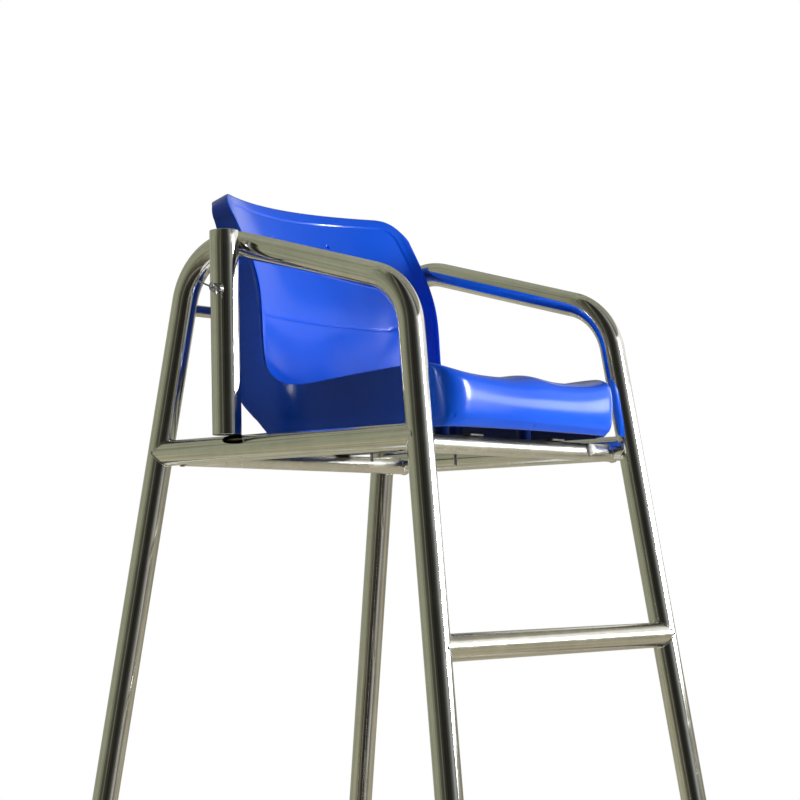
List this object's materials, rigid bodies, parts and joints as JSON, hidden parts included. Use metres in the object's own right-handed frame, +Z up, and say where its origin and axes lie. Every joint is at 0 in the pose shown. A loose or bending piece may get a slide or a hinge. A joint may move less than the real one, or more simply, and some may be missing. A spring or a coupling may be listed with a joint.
{
  "type": "lifeguard chair",
  "caption": "Tall tubular stand with splayed legs, front rungs, bent armrests, a moulded bucket seat and a side socket tube for a parasol.",
  "frame": {"origin": "on the floor at the centre of the footprint", "axes": "+Z up; the seat and the rungs face -Y; the parasol tube is on the -X side, the sitter's right"},
  "size_m": [0.9118, 1.1398, 2.2218],
  "materials": {
    "polished_steel": "mirror-polished stainless tube with soft vertical streaks",
    "blue_plastic": "glossy moulded polyethylene with a very fine orange-peel surface",
    "black_rubber": "matt moulded rubber",
    "zinc_steel": "bright zinc-plated hardware",
    "nylon": "moulded nylon pressure pad",
    "white_nylon": "satin white push-in cap"
  },
  "bodies": {
    "stand": {"side_frame_right": "polished_steel", "seat_side_rail_right": "polished_steel", "side_brace_right": "polished_steel", "side_frame_left": "polished_steel", "seat_side_rail_left": "polished_steel", "side_brace_left": "polished_steel", "front_foot_right": "black_rubber", "rear_foot_right": "black_rubber", "front_foot_left": "black_rubber", "rear_foot_left": "black_rubber", "rung_1": "polished_steel", "rung_2": "polished_steel", "rung_3": "polished_steel", "rung_4": "polished_steel", "rung_5": "polished_steel", "rear_brace": "polished_steel", "back_rail": "polished_steel", "seat_front_rail": "polished_steel", "seat_rear_rail": "polished_steel", "seat_strap_right": "polished_steel", "seat_strap_left": "polished_steel", "parasol_post": "polished_steel", "clamp_boss": "polished_steel", "seat_shell": "blue_plastic", "seat_studs": "zinc_steel", "seat_washers": "zinc_steel", "seat_nuts": "zinc_steel", "rail_cap": "white_nylon"},
    "clamp_pad": {"clamp_pad": "nylon"},
    "clamp_screw": {"clamp_screw": "zinc_steel", "clamp_handle": "zinc_steel"}
  },
  "joints": [
    {"name": "clamp_slide", "type": "slide", "parent": "stand", "child": "clamp_pad", "axis": [0.9659, 0.2588, 0], "range_m": [0, 0.005]},
    {"name": "clamp_turn", "type": "hinge", "parent": "clamp_pad", "child": "clamp_screw", "pos_m": [-0.35817, 0.05653, 2.035], "axis": [0.9659, 0.2588, 0], "range_deg": [0, 1440]}
  ],
  "couplings": [
    {"joint": "clamp_turn", "follows": "clamp_slide", "rad_per_m": 5026.5}
  ]
}
